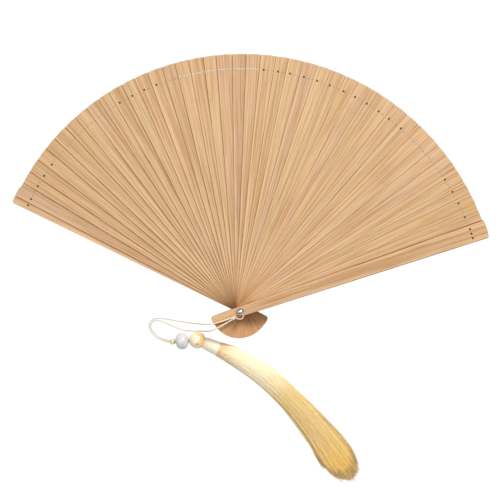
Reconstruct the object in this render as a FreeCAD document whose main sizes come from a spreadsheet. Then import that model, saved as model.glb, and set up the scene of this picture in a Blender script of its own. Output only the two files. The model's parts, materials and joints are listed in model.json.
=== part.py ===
import FreeCAD, Part
import math
import os

import Sketcher

# Sandalwood brise fan, open and lying on its rear guard.
# The rivet's axis is Z, the rear guard's outer face is z = 0, and the open fan faces +Y.
# Leaves are stacked upward: rear guard, blades 1 to 41, front guard. Angles run from +X.

Vector = FreeCAD.Vector
UP = Vector(0, 0, 1)

sizes = {
    # the fan as a whole
    "fan_angle": 134.2,  # from the rear guard's centreline to the front guard's
    "first_step": 1.8,  # the rear guard to the first blade
    "blade_count": 41,
    # outline shared by guards and blades
    "guard_reach": 189.0,  # rivet to tip
    "blade_reach": 188.0,
    "heel_reach": 21.1,  # rivet to heel
    "guard_heel_more": 0.6,  # how far a guard's heel stands out past the blades'
    "heel_width": 6.7,
    "tip_width": 13.8,
    "guard_tip_bow": 60.0,  # radius of the guard's convex tip
    "blade_tip_bow": 45.0,
    "guard_corner": 1.8,
    "blade_corner": 0.8,
    "guard_edge": 0.6,  # rounding of a guard's outer edges
    # thicknesses and the stack
    "guard_thick": 2.0,
    "blade_thick": 0.36,
    "leaf_gap": 0.09,
    # holes for the stringing thread
    "hole_reach": 177.0,
    "hole_pitch": 3.4,
    "hole_dia": 1.2,
    # rivet
    "rivet_dia": 3.0,
    "rivet_clearance": 0.15,
    "rear_head_dia": 6.0,
    "rear_head_thick": 0.9,
    "rear_head_clearance": 0.2,
    "neck_height": 1.36,  # room for the cord loop under the cap
    "cap_dia": 5.3,
    "cap_height": 1.9,
    "cap_socket": 1.1,
    # stringing thread, a flat floss
    "thread_width": 0.6,
    "thread_thick": 0.06,
    "thread_clearance": 0.015,
    "thread_dia": 0.5,  # where it is drawn round through a hole
    # cord and tassel
    "cord_dia": 1.0,
    "loop_slack": 2.35,  # the loop's ring stands this far outside the rivet's shank
    "loop_lift": 0.66,  # the loop's middle above the front guard
    "loop_knot_dia": 2.6,
    "top_knot_dia": 4.4,
    "bead_cord_dia": 2.0,
    "bead_cord_clearance": 0.2,
    "bead_dia": 12.4,
    "bead_length": 10.0,
    "head_dia": 12.8,
    "bead_gap": 0.1,
    "rest_gap": 0.1,  # what lies on the table stands this far off it
    "binding_dia": 9.6,
}

doc = FreeCAD.newDocument("SandalwoodFan")
sheet = doc.addObject("Spreadsheet::Sheet", "Sizes")
for row, (alias, value) in enumerate(sizes.items(), start=1):
    sheet.set(f"A{row}", alias)
    sheet.set(f"B{row}", str(value))
    sheet.setAlias(f"B{row}", alias)
doc.recompute()

nodes = []


def size(alias):
    return float(sheet.get(alias))


def bind(thing, **expressions):
    # ties properties of an object to cells; a double underscore stands for a dot
    for name, expression in expressions.items():
        thing.setExpression(name.replace("__", "."), expression)


def keep(thing, label):
    thing.Label = label
    nodes.append(thing)
    return thing


# ---------------------------------------------------------------- places in the stack

bladeCount = int(size("blade_count"))
pitch = size("blade_thick") + size("leaf_gap")
rearTop = size("guard_thick")
frontBottom = rearTop + size("leaf_gap") + bladeCount * pitch
frontTop = frontBottom + size("guard_thick")
rearAngle = 90 + size("fan_angle") / 2
frontAngle = 90 - size("fan_angle") / 2
bladeStep = (size("fan_angle") - size("first_step")) / bladeCount

PITCH = "(Sizes.blade_thick + Sizes.leaf_gap)"
FRONT_BOTTOM = f"(Sizes.guard_thick + Sizes.leaf_gap + Sizes.blade_count * {PITCH})"
FRONT_TOP = f"({FRONT_BOTTOM} + Sizes.guard_thick)"
STEP = "((Sizes.fan_angle - Sizes.first_step) / Sizes.blade_count)"


def stray(number):
    # hand-strung blades stand a little off their even places, in degrees
    return 0.15 * math.sin(2.4 * number) + 0.09 * math.sin(5.3 * number + 1)


def blade_angle(number):
    return rearAngle - size("first_step") - (number - 1) * bladeStep + stray(number)


def blade_bottom(number):
    return rearTop + size("leaf_gap") + (number - 1) * pitch


# ---------------------------------------------------------------- leaves


def plane_of(body, role):
    return next(f for f in body.Origin.OriginFeatures if f.Role == role)


def sketch_on(body, role, name):
    sketch = body.newObject("Sketcher::SketchObject", name)
    sketch.AttachmentSupport = (plane_of(body, role), [""])
    sketch.MapMode = "FlatFace"
    return sketch


def leaf_plan(body, kind):
    # A leaf along +X: straight sides that widen to a slightly bowed tip, the rivet's bore
    # on the origin and three thread holes side by side near the tip.
    plan = sketch_on(body, "XY_Plane", body.Name + "_plan")
    guard = kind == "guard"
    heelReach = "Sizes.heel_reach" + (" + Sizes.guard_heel_more" if guard else "")
    heel = -size("heel_reach") - (size("guard_heel_more") if guard else 0)
    tip = size(kind + "_reach")
    low, high = size("heel_width") / 2, size("tip_width") / 2
    bow = size(kind + "_tip_bow")
    sag = bow - math.sqrt(bow**2 - high**2)
    swing = math.asin(high / bow)
    corners = [(heel, -low), (tip - sag, -high), (tip - sag, high), (heel, low)]
    corners = [Vector(x, y, 0) for x, y in corners]
    right, left, end = 0, 1, 2
    plan.addGeometry(Part.LineSegment(corners[0], corners[1]))
    plan.addGeometry(Part.LineSegment(corners[2], corners[3]))
    plan.addGeometry(Part.LineSegment(corners[3], corners[0]))
    circle = Part.Circle(Vector(tip - bow, 0, 0), UP, bow)
    arc = plan.addGeometry(Part.ArcOfCircle(circle, -swing, swing))
    rule = Sketcher.Constraint
    plan.addConstraint(rule("Coincident", right, 2, arc, 1))
    plan.addConstraint(rule("Coincident", arc, 2, left, 1))
    plan.addConstraint(rule("Coincident", left, 2, end, 1))
    plan.addConstraint(rule("Coincident", end, 2, right, 1))
    plan.addConstraint(rule("Symmetric", left, 2, right, 1, -1))
    plan.addConstraint(rule("Symmetric", left, 1, right, 2, -1))

    def drive(name, constraint, expression):
        number = plan.addConstraint(constraint)
        plan.renameConstraint(number, name)
        plan.setExpression("Constraints." + name, expression)

    drive("heel_reach", rule("DistanceX", right, 1, -1, 1, -heel), heelReach)
    drive("heel_width", rule("DistanceY", right, 1, left, 2, 2 * low), "Sizes.heel_width")
    drive("tip_width", rule("DistanceY", right, 2, left, 1, 2 * high), "Sizes.tip_width")
    drive("bow", rule("Radius", arc, bow), f"Sizes.{kind}_tip_bow")
    centre = f"Sizes.{kind}_reach - Sizes.{kind}_tip_bow"
    drive("bow_centre", rule("DistanceX", -1, 1, arc, 3, tip - bow), centre)

    bore = size("rivet_dia") / 2 + size("rivet_clearance")
    hole = plan.addGeometry(Part.Circle(Vector(0, 0, 0), UP, bore))
    plan.addConstraint(rule("Coincident", hole, 3, -1, 1))
    drive("bore", rule("Radius", hole, bore), "Sizes.rivet_dia / 2 + Sizes.rivet_clearance")
    reach, radius = size("hole_reach"), size("hole_dia") / 2
    for name, side in (("left", 1), ("middle", 0), ("right", -1)):
        off = side * size("hole_pitch")
        hole = plan.addGeometry(Part.Circle(Vector(reach, off, 0), UP, radius))
        drive(name + "_radius", rule("Radius", hole, radius), "Sizes.hole_dia / 2")
        drive(name + "_reach", rule("DistanceX", -1, 1, hole, 3, reach), "Sizes.hole_reach")
        if side:
            across = rule("DistanceY", -1, 1, hole, 3, off)
            drive(name + "_off", across, f"{side} * Sizes.hole_pitch")
        else:
            plan.addConstraint(rule("PointOnObject", hole, 3, -1))
    return plan


def edge_names(shape, wanted):
    return [f"Edge{i}" for i, edge in enumerate(shape.Edges, start=1) if wanted(edge)]


def is_corner(edge):
    # an upright edge at the heel or the tip, not the seam of a hole
    ends = [v.Point for v in edge.Vertexes]
    if len(ends) != 2 or not isinstance(edge.Curve, Part.Line):
        return False
    upright = abs(ends[0].z - ends[1].z) > 0.9 * edge.Length
    return upright and not -size("rivet_dia") < ends[0].x < size("hole_reach") + size("hole_dia")


def rim_at(height):
    # the edges of the outline at one height, without the holes' circles
    def wanted(edge):
        if edge.Closed:
            return False
        return all(abs(v.Point.z - height) < 1e-6 for v in edge.Vertexes)

    return wanted


def leaf(label, kind, thick, angle, bottom):
    body = doc.addObject("PartDesign::Body", label)
    plan = leaf_plan(body, kind)
    pad = body.newObject("PartDesign::Pad", label + "_pad")
    pad.Profile = plan
    bind(pad, Length=thick)
    doc.recompute()
    rounded = body.newObject("PartDesign::Fillet", label + "_corners")
    rounded.Base = (pad, edge_names(pad.Shape, is_corner))
    bind(rounded, Radius=f"Sizes.{kind}_corner")
    body.Placement = FreeCAD.Placement(Vector(0, 0, 0), FreeCAD.Rotation(UP, 30))
    bind(body, Placement__Rotation__Angle=angle, Placement__Base__z=bottom)
    return keep(body, label)


def round_rim(body, height):
    # the outer face's edge is rounded over, as a sanded guard's is
    last = body.Tip
    rim = body.newObject("PartDesign::Fillet", body.Name + "_rim")
    rim.Base = (last, edge_names(last.Shape, rim_at(height)))
    bind(rim, Radius="Sizes.guard_edge")


def rear_guard():
    guard = leaf("guard_rear", "guard", "Sizes.guard_thick", "90 + Sizes.fan_angle / 2", "0")
    doc.recompute()
    round_rim(guard, 0)
    seat = sketch_on(guard, "XY_Plane", "guard_rear_seat")
    radius = size("rear_head_dia") / 2 + size("rear_head_clearance")
    ring = seat.addGeometry(Part.Circle(Vector(0, 0, 0), UP, radius))
    seat.addConstraint(Sketcher.Constraint("Coincident", ring, 3, -1, 1))
    seat.renameConstraint(seat.addConstraint(Sketcher.Constraint("Radius", ring, radius)), "rim")
    seat.setExpression("Constraints.rim", "Sizes.rear_head_dia / 2 + Sizes.rear_head_clearance")
    doc.recompute()
    before = guard.Shape.Volume
    pocket = guard.newObject("PartDesign::Pocket", "guard_rear_counterbore")
    pocket.Profile = seat
    pocket.Reversed = True
    bind(pocket, Length="Sizes.rear_head_thick + Sizes.thread_clearance")
    doc.recompute()
    if guard.Shape.Volume > before - 10:
        raise RuntimeError("the counterbore for the rivet's rear head cuts nothing")


def front_guard():
    leaf("guard_front", "guard", "Sizes.guard_thick", "90 - Sizes.fan_angle / 2", FRONT_BOTTOM)
    doc.recompute()
    round_rim(nodes[-1], size("guard_thick"))


def blades():
    for number in range(1, bladeCount + 1):
        angle = f"90 + Sizes.fan_angle / 2 - Sizes.first_step - {number - 1} * {STEP}"
        angle += f" + {stray(number):.4f}"
        bottom = f"Sizes.guard_thick + Sizes.leaf_gap + {number - 1} * {PITCH}"
        leaf(f"blade_{number:02d}", "blade", "Sizes.blade_thick", angle, bottom)


# ---------------------------------------------------------------- rivet


def cylinder(name, radius, height, base=Vector(0, 0, 0), along=UP):
    made = doc.addObject("Part::Cylinder", name)
    bind(made, Radius=radius, Height=height)
    made.Placement = FreeCAD.Placement(base, FreeCAD.Rotation(UP, along))
    return made


def combine(kind, label, base, tool):
    made = doc.addObject("Part::" + kind, label)
    made.Base = base
    made.Tool = tool
    return keep(made, label)


CAP_BOTTOM = f"({FRONT_TOP} + Sizes.neck_height)"


def rivet():
    # a headed post through every leaf, and a domed cap pressed onto its far end
    head = cylinder("rear_head", "Sizes.rear_head_dia / 2", "Sizes.rear_head_thick")
    shank = cylinder("shank", "Sizes.rivet_dia / 2", f"{CAP_BOTTOM} + Sizes.cap_socket")
    combine("Fuse", "rivet_post", head, shank)

    ball = doc.addObject("Part::Sphere", "cap_ball")
    curve = "((Sizes.cap_dia / 2) ^ 2 + Sizes.cap_height ^ 2) / (2 * Sizes.cap_height)"
    bind(ball, Radius=curve, Placement__Base__z=f"{CAP_BOTTOM} + Sizes.cap_height - {curve}")
    above = cylinder("cap_room", "Sizes.cap_dia", "2 * Sizes.cap_height")
    bind(above, Placement__Base__z=CAP_BOTTOM)
    dome = doc.addObject("Part::Common", "dome")
    dome.Base = ball
    dome.Tool = above
    socket = cylinder("cap_bore", "Sizes.rivet_dia / 2", "Sizes.cap_socket")
    bind(socket, Placement__Base__z=CAP_BOTTOM)
    combine("Cut", "rivet_cap", dome, socket)


# ---------------------------------------------------------------- stringing thread


def hole_place(angle):
    # the left thread hole of a leaf that stands at this angle
    turn = FreeCAD.Rotation(UP, angle)
    return turn.multVec(Vector(size("hole_reach"), size("hole_pitch"), 0))


def stringing_thread():
    # One thread goes up through each leaf's left hole, across that leaf's face under the
    # next leaf, and up through the next leaf's left hole.
    angles = [rearAngle] + [blade_angle(k) for k in range(1, bladeCount + 1)] + [frontAngle]
    tops = [rearTop] + [blade_bottom(k) + size("blade_thick") for k in range(1, bladeCount + 1)]
    places = [hole_place(angle) for angle in angles]
    inGuard = size("guard_thick") / 2
    wide, thick, off = size("thread_width"), size("thread_thick"), size("thread_clearance")
    solids = []
    for start, end, top in zip(places[:-1], places[1:], tops):
        run = end.sub(start)
        dash = Part.makeBox(run.Length, wide, thick, Vector(0, -wide / 2, 0))
        dash.Placement = FreeCAD.Placement(
            Vector(start.x, start.y, top + off), FreeCAD.Rotation(Vector(1, 0, 0), run)
        )
        solids.append(dash)
    lows = [rearTop - inGuard] + [top + off for top in tops]
    highs = [top + off + thick for top in tops] + [frontBottom + inGuard]
    for place, low, high in zip(places, lows, highs):
        foot = Vector(place.x, place.y, low)
        solids.append(Part.makeCylinder(size("thread_dia") / 2, high - low, foot))
    made = doc.addObject("Part::Feature", "stringing_thread")
    made.Shape = solids[0].multiFuse(solids[1:])
    keep(made, "stringing_thread")


# ---------------------------------------------------------------- cord

# Each strand's points: first those over the fan, with their height above the front guard,
# then those past the heel, with their height above the table.
frontStrandOnFan = [
    (-5.6, -4.7, 1.36),
    (-10.8, -7.0, 0.85),
    (-15.8, -9.0, 0.8),
    (-20.9, -10.6, 0.92),
]
frontStrandBelow = [
    (-25.3, -11.6, 19.0),
    (-29.4, -12.5, 13.2),
    (-33.8, -13.2, 7.4),
    (-38.6, -13.7, 2.9),
    (-43.6, -13.5, 0.95),
    (-49.0, -13.1, 0.62),
    (-54.4, -12.5, 0.6),
    (-59.6, -12.1, 0.62),
    (-64.0, -12.3, 0.6),
    (-67.3, -14.3, 0.62),
    (-68.5, -17.9, 0.6),
    (-67.3, -21.6, 0.62),
    (-64.8, -24.9, 0.6),
    (-61.3, -27.4, 0.85),
    (-57.3, -28.8, 2.0),
    (-53.6, -29.1, 3.7),
    (-50.6, -28.75, 5.0),
]
rearStrandOnFan = [
    (-5.2, -5.8, 1.36),
    (-9.5, -8.9, 0.85),
    (-13.8, -11.8, 0.8),
    (-17.9, -14.3, 0.8),
]
rearStrandBelow = [
    (-20.7, -16.1, 19.3),
    (-22.2, -17.2, 14.4),
    (-23.6, -18.1, 9.4),
    (-25.6, -18.9, 4.7),
    (-29.0, -19.5, 1.5),
    (-33.4, -19.9, 0.66),
    (-38.0, -20.2, 0.6),
    (-42.4, -19.8, 0.62),
    (-46.6, -18.7, 0.6),
    (-50.9, -17.2, 0.62),
    (-55.2, -15.6, 0.6),
    (-59.4, -14.2, 0.62),
    (-63.3, -13.6, 0.6),
    (-66.1, -15.2, 0.62),
    (-67.2, -18.0, 0.6),
    (-66.1, -21.1, 0.62),
    (-63.8, -24.0, 0.6),
    (-60.6, -26.3, 0.9),
    (-56.9, -27.6, 2.0),
    (-53.6, -27.8, 3.7),
    (-50.6, -27.45, 5.0),
]


def route(onFan, below):
    points = [Vector(x, y, frontTop + lift) for x, y, lift in onFan]
    return points + [Vector(*point) for point in below]


def rounded_path(points):
    # straight runs joined by tangent arcs, each as large as its two runs allow
    edges, radii, last = [], [], points[0]
    for before, corner, after in zip(points[:-2], points[1:-1], points[2:]):
        back, ahead = before.sub(corner), after.sub(corner)
        shorter = min(back.Length, ahead.Length)
        half = (math.pi - back.getAngle(ahead)) / 2
        reach = 0.45 * shorter
        back.normalize()
        ahead.normalize()
        start, end = corner + back * reach, corner + ahead * reach
        radius = reach / math.tan(half)
        inward = (back + ahead).normalize()
        middle = corner + inward * (radius / math.cos(half) - radius)
        edges += [Part.LineSegment(last, start).toShape(), Part.Arc(start, middle, end).toShape()]
        radii.append(radius)
        last = end
    edges.append(Part.LineSegment(last, points[-1]).toShape())
    return Part.Wire(edges), radii


def cord(label, points):
    path, radii = rounded_path(points)
    radius = size("cord_dia") / 2
    ring = Part.Circle(points[0], points[1].sub(points[0]), radius).toShape()
    tube = path.makePipeShell([Part.Wire(ring)], True, False)
    expected = math.pi * radius**2 * path.Length
    if abs(tube.Volume / expected - 1) > 0.01:
        raise RuntimeError(f"{label} has the wrong volume")
    print(f"{label}: {path.Length:.1f} mm long, smallest radius {min(radii):.2f} mm")
    print("   radii", " ".join(f"{r:.1f}" for r in radii))
    made = doc.addObject("Part::Feature", label)
    made.Shape = tube
    return keep(made, label)


def torus(name, centre, ring, tube):
    made = doc.addObject("Part::Torus", name)
    bind(made, Radius1=ring, Radius2=tube)
    made.Placement.Base = centre
    return made


def sphere(name, centre, diameter):
    made = doc.addObject("Part::Sphere", name)
    bind(made, Radius=f"{diameter} / 2")
    made.Placement.Base = centre
    return made


def cord_and_knots():
    ring = "Sizes.rivet_dia / 2 + Sizes.loop_slack"
    loop = torus("cord_loop", Vector(-0.5, -1.65, 0), ring, "Sizes.cord_dia / 2")
    bind(loop, Placement__Base__z=f"{FRONT_TOP} + Sizes.loop_lift")
    keep(loop, "cord_loop")
    knot = sphere("loop_knot", Vector(-4.6, -4.9, 0), "Sizes.loop_knot_dia")
    bind(knot, Placement__Base__z=f"{FRONT_TOP} + Sizes.loop_knot_dia / 2 + Sizes.rest_gap")
    keep(knot, "loop_knot")
    cord("cord_strand_front", route(frontStrandOnFan, frontStrandBelow))
    cord("cord_strand_rear", route(rearStrandOnFan, rearStrandBelow))


# ---------------------------------------------------------------- tassel

beadAxis = Vector(0.990, 0.143, 0).normalize()  # from the bead to the tassel's head
headPlace = Vector(-30.8, -25.7, size("head_dia") / 2 + size("rest_gap"))
beadOff = (size("head_dia") + size("bead_length")) / 2 + size("bead_gap")
beadPlace = headPlace - beadAxis * beadOff
knotPlace = beadPlace - beadAxis * (size("bead_length") / 2 + size("top_knot_dia") / 2)
knotPlace.z -= 0.9  # the knot sags a little below the bead's bore
bindingStart = Vector(-27.6, -26.6, 5.9)
bindingEnd = Vector(-14.4, -31.7, 4.95)

# The skirt's silk lies on the table and flattens as it spreads: middle, half width, half height.
skirtSections = [
    (Vector(-9.4, -33.0, 4.9), 6.2, 4.7),
    (Vector(-2.3, -36.3, 4.8), 7.1, 4.6),
    (Vector(9.0, -41.8, 4.6), 7.9, 4.35),
    (Vector(21.2, -48.6, 4.35), 8.6, 4.1),
    (Vector(34.2, -59.0, 4.15), 8.6, 3.9),
    (Vector(48.2, -71.0, 3.95), 9.3, 3.7),
    (Vector(62.5, -86.0, 3.75), 10.6, 3.5),
    (Vector(70.9, -95.2, 3.7), 11.6, 3.45),
    (Vector(77.2, -103.6, 3.6), 12.5, 3.35),
    (Vector(83.2, -110.7, 3.4), 12.3, 3.15),
    (Vector(88.6, -117.2, 3.1), 10.6, 2.8),
    (Vector(92.8, -122.0, 2.6), 7.4, 2.3),
    (Vector(95.2, -124.6, 2.1), 4.2, 1.8),
]


def bead():
    # a round barrel of stone with the cord's two strands drawn tight through it
    stone = doc.addObject("Part::Ellipsoid", "bead_stone")
    bind(stone, Radius1="Sizes.bead_length / 2", Radius2="Sizes.bead_dia / 2")
    bind(stone, Radius3="Sizes.bead_dia / 2")
    stone.Placement = FreeCAD.Placement(beadPlace, FreeCAD.Rotation(UP, beadAxis))
    bore = cylinder(
        "bead_bore",
        "Sizes.bead_cord_dia / 2 + Sizes.bead_cord_clearance",
        "2 * Sizes.bead_length",
        beadPlace - beadAxis * size("bead_length"),
        beadAxis,
    )
    combine("Cut", "bead", stone, bore)
    start = beadPlace - beadAxis * (size("bead_length") / 2 + size("bead_gap"))
    through = cylinder(
        "bead_cord", "Sizes.bead_cord_dia / 2", "Sizes.bead_length + 3 * Sizes.bead_gap",
        start, beadAxis,
    )
    keep(through, "bead_cord")
    keep(sphere("top_knot", knotPlace, "Sizes.top_knot_dia"), "top_knot")


def head_and_binding():
    keep(sphere("tassel_head", headPlace, "Sizes.head_dia"), "tassel_head")
    along = bindingEnd.sub(bindingStart)
    wrap = cylinder(
        "binding_wrap", "Sizes.binding_dia / 2", f"{along.Length}", bindingStart, along
    )
    room = sphere("head_room", headPlace, "(Sizes.head_dia + 2 * Sizes.thread_clearance)")
    combine("Cut", "tassel_binding", wrap, room)


def section(number, place, along, halfWidth, halfHeight):
    # an upright ellipse across the skirt; its long axis lies level
    across = UP.cross(along).normalize()
    ring = doc.addObject("Part::Ellipse", f"skirt_section_{number}")
    ring.MajorRadius = max(halfWidth, halfHeight)
    ring.MinorRadius = min(halfWidth, halfHeight)
    turn = FreeCAD.Rotation(across, along.cross(across), along, "ZXY")
    ring.Placement = FreeCAD.Placement(place, turn)
    return ring


def skirt():
    neck = (bindingEnd, size("binding_dia") / 2, size("binding_dia") / 2)
    rings = [neck] + skirtSections
    middles = [place for place, _, _ in rings]
    alongs = [bindingEnd.sub(bindingStart)]
    alongs += [b.sub(a) for a, b in zip(middles[:-2], middles[2:])]
    alongs.append(middles[-1].sub(middles[-2]))
    loft = doc.addObject("Part::Loft", "tassel_skirt")
    loft.Sections = [
        section(number, place, along.normalize(), wide, high)
        for number, ((place, wide, high), along) in enumerate(zip(rings, alongs))
    ]
    loft.Solid = True
    loft.Ruled = False
    keep(loft, "tassel_skirt")


# ---------------------------------------------------------------- build, check, write

rear_guard()
blades()
front_guard()
rivet()
stringing_thread()
cord_and_knots()
bead()
head_and_binding()
skirt()
doc.recompute()

faults = [thing.Name for thing in doc.Objects if {"Invalid", "Error"} & set(thing.State)]
faults += [node.Label for node in nodes if node.Shape.isNull() or not node.Shape.isValid()]
faults += [node.Label for node in nodes if len(node.Shape.Solids) != 1]
if faults:
    raise RuntimeError("these didn't build: " + ", ".join(faults))

os.makedirs("parts", exist_ok=True)
for node in nodes:
    node.Shape.exportStep(f"parts/{node.Label}.step")
print(len(nodes), "nodes written")
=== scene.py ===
import json
import math

import bpy
import numpy as np
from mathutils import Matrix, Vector


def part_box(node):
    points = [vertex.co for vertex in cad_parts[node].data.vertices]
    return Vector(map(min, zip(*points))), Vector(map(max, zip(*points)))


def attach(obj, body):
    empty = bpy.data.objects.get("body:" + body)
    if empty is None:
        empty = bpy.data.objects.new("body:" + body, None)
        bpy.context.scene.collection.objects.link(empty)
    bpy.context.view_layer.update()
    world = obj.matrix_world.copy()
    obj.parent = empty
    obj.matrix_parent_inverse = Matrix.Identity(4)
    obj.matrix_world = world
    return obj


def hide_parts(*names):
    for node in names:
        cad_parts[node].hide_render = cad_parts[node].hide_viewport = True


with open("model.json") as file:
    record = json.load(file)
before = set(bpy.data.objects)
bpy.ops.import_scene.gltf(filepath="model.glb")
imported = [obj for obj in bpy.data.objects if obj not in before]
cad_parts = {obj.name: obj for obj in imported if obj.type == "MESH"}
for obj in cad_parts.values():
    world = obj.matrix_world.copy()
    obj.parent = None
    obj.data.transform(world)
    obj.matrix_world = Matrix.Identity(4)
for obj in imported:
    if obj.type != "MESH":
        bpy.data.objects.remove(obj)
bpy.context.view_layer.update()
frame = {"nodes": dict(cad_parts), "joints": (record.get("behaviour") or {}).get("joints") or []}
mm = 0.001

# The fan: leaves open about the rivet, Z up, the open fan faces +Y.
fan = {
    "openAngle": 134.2,  # degrees, guard to guard
    "firstStep": 1.8,  # rear guard to the first blade
    "bladeCount": 41,
    "holeReach": 177 * mm,
    "holePitch": 3.4 * mm,
    "tipReach": 188 * mm,
    "overEdge": ((124, 143), (88, 111), (38, 50)),  # degrees: here the thread wraps the edge
    "widthAtRivet": 7.42 * mm,
    "widening": (13.8 - 7.42) / 189,  # extra width for each metre from the rivet
}
rearAngle = 90 + fan["openAngle"] / 2
frontAngle = 90 - fan["openAngle"] / 2
bladeStep = (fan["openAngle"] - fan["firstStep"]) / fan["bladeCount"]
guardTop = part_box("guard_front")[1][2]


def bladeAngle(number):
    # even steps, each blade a little off its place as hand stringing leaves it
    stray = 0.15 * math.sin(2.4 * number) + 0.09 * math.sin(5.3 * number + 1)
    return rearAngle - fan["firstStep"] - (number - 1) * bladeStep + stray


# ---- camera, floor and lights

camera = {
    "place": (0.0061, 0.0864, 0.680),
    "tilt": (-3.556, 0.197, 4.117),  # degrees
    "lens": 65.25,
    "sensor": 36,
    "nearest": 0.01,
}


def addCamera():
    data = bpy.data.cameras.new("camera")
    data.lens = camera["lens"]
    data.sensor_width = camera["sensor"]
    data.clip_start = camera["nearest"]
    made = bpy.data.objects.new("camera", data)
    made.location = camera["place"]
    made.rotation_mode = "ZYX"
    made.rotation_euler = [math.radians(a) for a in camera["tilt"]]
    bpy.context.scene.collection.objects.link(made)
    bpy.context.scene.camera = made


studio = {
    "floorColor": (0.05, 0.05, 0.05, 1),
    "floorGlow": 1.0,  # a lit white table: no shadow shows on it
    "floorRoughness": 0.9,
    "floorHalf": 30.0,  # half its side
    "floorDrop": 0.03 * mm,  # it lies this far below what rests on it
    "worldColor": (1, 1, 1, 1),
    "worldStrength": 0.46,
    "keyFrom": (0.72, 1.45, 1.42),  # from the far right
    "keySize": 0.6,
    "keyPower": 55,
    "topFrom": (-0.6, 0.1, 1.8),
    "topSize": 1.6,
    "topPower": 13.5,
    "aim": (0, 0.05, 0),
}


def aimAt(made, target):
    gaze = np.array(target) - np.array(made.location)
    made.rotation_mode = "QUATERNION"
    made.rotation_quaternion = Vector(gaze).to_track_quat("-Z", "Y")


def addLight(name, place, size, power):
    data = bpy.data.lights.new(name, "AREA")
    data.shape = "SQUARE"
    data.size = size
    data.energy = power
    made = bpy.data.objects.new(name, data)
    made.location = place
    aimAt(made, studio["aim"])
    bpy.context.scene.collection.objects.link(made)


def addStudio():
    scene = bpy.context.scene
    scene.view_settings.view_transform = "Standard"
    world = bpy.data.worlds.new("studio")
    world.use_nodes = True
    back = world.node_tree.nodes["Background"]
    back.inputs["Color"].default_value = studio["worldColor"]
    back.inputs["Strength"].default_value = studio["worldStrength"]
    scene.world = world
    half, drop = studio["floorHalf"], studio["floorDrop"]
    corners = [(-half, -half), (half, -half), (half, half), (-half, half)]
    sheet = bpy.data.meshes.new("floor")
    sheet.from_pydata([(x, y, -drop) for x, y in corners], [], [(0, 1, 2, 3)])
    floor = bpy.data.objects.new("floor", sheet)
    scene.collection.objects.link(floor)
    paint = bpy.data.materials.new("floor")
    paint.use_nodes = True
    shader = paint.node_tree.nodes["Principled BSDF"]
    shader.inputs["Base Color"].default_value = studio["floorColor"]
    shader.inputs["Roughness"].default_value = studio["floorRoughness"]
    shader.inputs["Emission Color"].default_value = studio["worldColor"]
    shader.inputs["Emission Strength"].default_value = studio["floorGlow"]
    sheet.materials.append(paint)
    addLight("keyLight", studio["keyFrom"], studio["keySize"], studio["keyPower"])
    addLight("topLight", studio["topFrom"], studio["topSize"], studio["topPower"])


addCamera()
addStudio()
print("camera and studio")


# ---- material tools


class Paint:
    # a short way to write a node material: each call adds a node and returns an output

    def __init__(self, name):
        self.material = bpy.data.materials.new(name)
        self.material.use_nodes = True
        self.nodes = self.material.node_tree.nodes
        self.links = self.material.node_tree.links
        self.shader = self.nodes["Principled BSDF"]

    def put(self, socket, value):
        if isinstance(value, bpy.types.NodeSocket):
            self.links.new(value, socket)
        else:
            socket.default_value = value

    def add(self, kind, inputs=None, out=0, **settings):
        node = self.nodes.new("ShaderNode" + kind)
        for key, value in settings.items():
            setattr(node, key, value)
        for key, value in (inputs or {}).items():
            self.put(node.inputs[key], value)
        return node.outputs[out]

    def place(self):
        return self.add("TexCoord", out="Object")

    def uv(self):
        return self.add("UVMap")

    def turned(self, vector, degrees, shift=(0, 0, 0)):
        turn = (0, 0, math.radians(degrees))
        return self.add("Mapping", {"Vector": vector, "Rotation": turn, "Location": shift})

    def scaled(self, vector, scale, shift=(0, 0, 0)):
        return self.add("Mapping", {"Vector": vector, "Scale": scale, "Location": shift})

    def noise(self, vector, scale=1.0, detail=2.0, rough=0.5, distort=0.0):
        values = {"Vector": vector, "Scale": scale, "Detail": detail}
        values.update({"Roughness": rough, "Distortion": distort})
        return self.add("TexNoise", values)

    def spread(self, value, low, high, toLow=0.0, toHigh=1.0):
        values = {0: value, 1: low, 2: high, 3: toLow, 4: toHigh}
        return self.add("MapRange", values, interpolation_type="SMOOTHSTEP")

    def math(self, kind, a, b=0.0):
        return self.add("Math", {0: a, 1: b}, operation=kind)

    def split(self, vector):
        node = self.nodes.new("ShaderNodeSeparateXYZ")
        self.put(node.inputs[0], vector)
        return node.outputs

    def mix(self, factor, a, b, kind="MIX"):
        values = {"Factor": factor, 6: a, 7: b}
        return self.add("Mix", values, out=2, data_type="RGBA", blend_type=kind)

    def finish(self, **values):
        for key, value in values.items():
            self.put(self.shader.inputs[key.replace("_", " ")], value)
        return self.material

    def bump(self, height, depth, strength=1.0, onto=None):
        values = {"Height": height, "Distance": depth, "Strength": strength}
        if onto is not None:
            values["Normal"] = onto
        return self.add("Bump", values)


def toned(color, factor):
    return tuple(c * f for c, f in zip(color, factor)) + (1,)


# ---- sandalwood leaves

sandalwood = {
    "honey": (0.480, 0.307, 0.147),
    "rose": (0.485, 0.292, 0.178),
    "straw": (0.480, 0.334, 0.176),
    "dusty": (0.430, 0.298, 0.186),
    "vein": (0.70, 0.55, 0.40),  # how much darker the darkest grain is
    "pore": (0.58, 0.44, 0.32),
    "heel": (0.97, 0.76, 0.55),  # painted shade round the rivet, where the stacked leaves shade one another
    "rim": (0.50, 0.26, 0.11),  # painted shadow along each leaf's edge
    # partly burnt wood, partly painted shade in and under the thread holes
    "hole": (0.10, 0.055, 0.03),
    "lighter": 1.22,  # the palest grain against the wood
    "tipEdgeColor": (0.42, 0.335, 0.25, 1),
    "tipBow": 11.1,  # how far the tip's end falls back, for each metre across squared
    "seeds": {"rear": 900, "front": 905, "blade": 40},
}
plainLeaf = {"warm": 1.0, "heel": 1.0, "rim": 0.95, "rimWide": 1.0, "holes": [], "longer": 0.0}
rearLook = {"warm": 1.08, "heel": 0.7, "rim": 0.5, "longer": 1 * mm}
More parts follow.
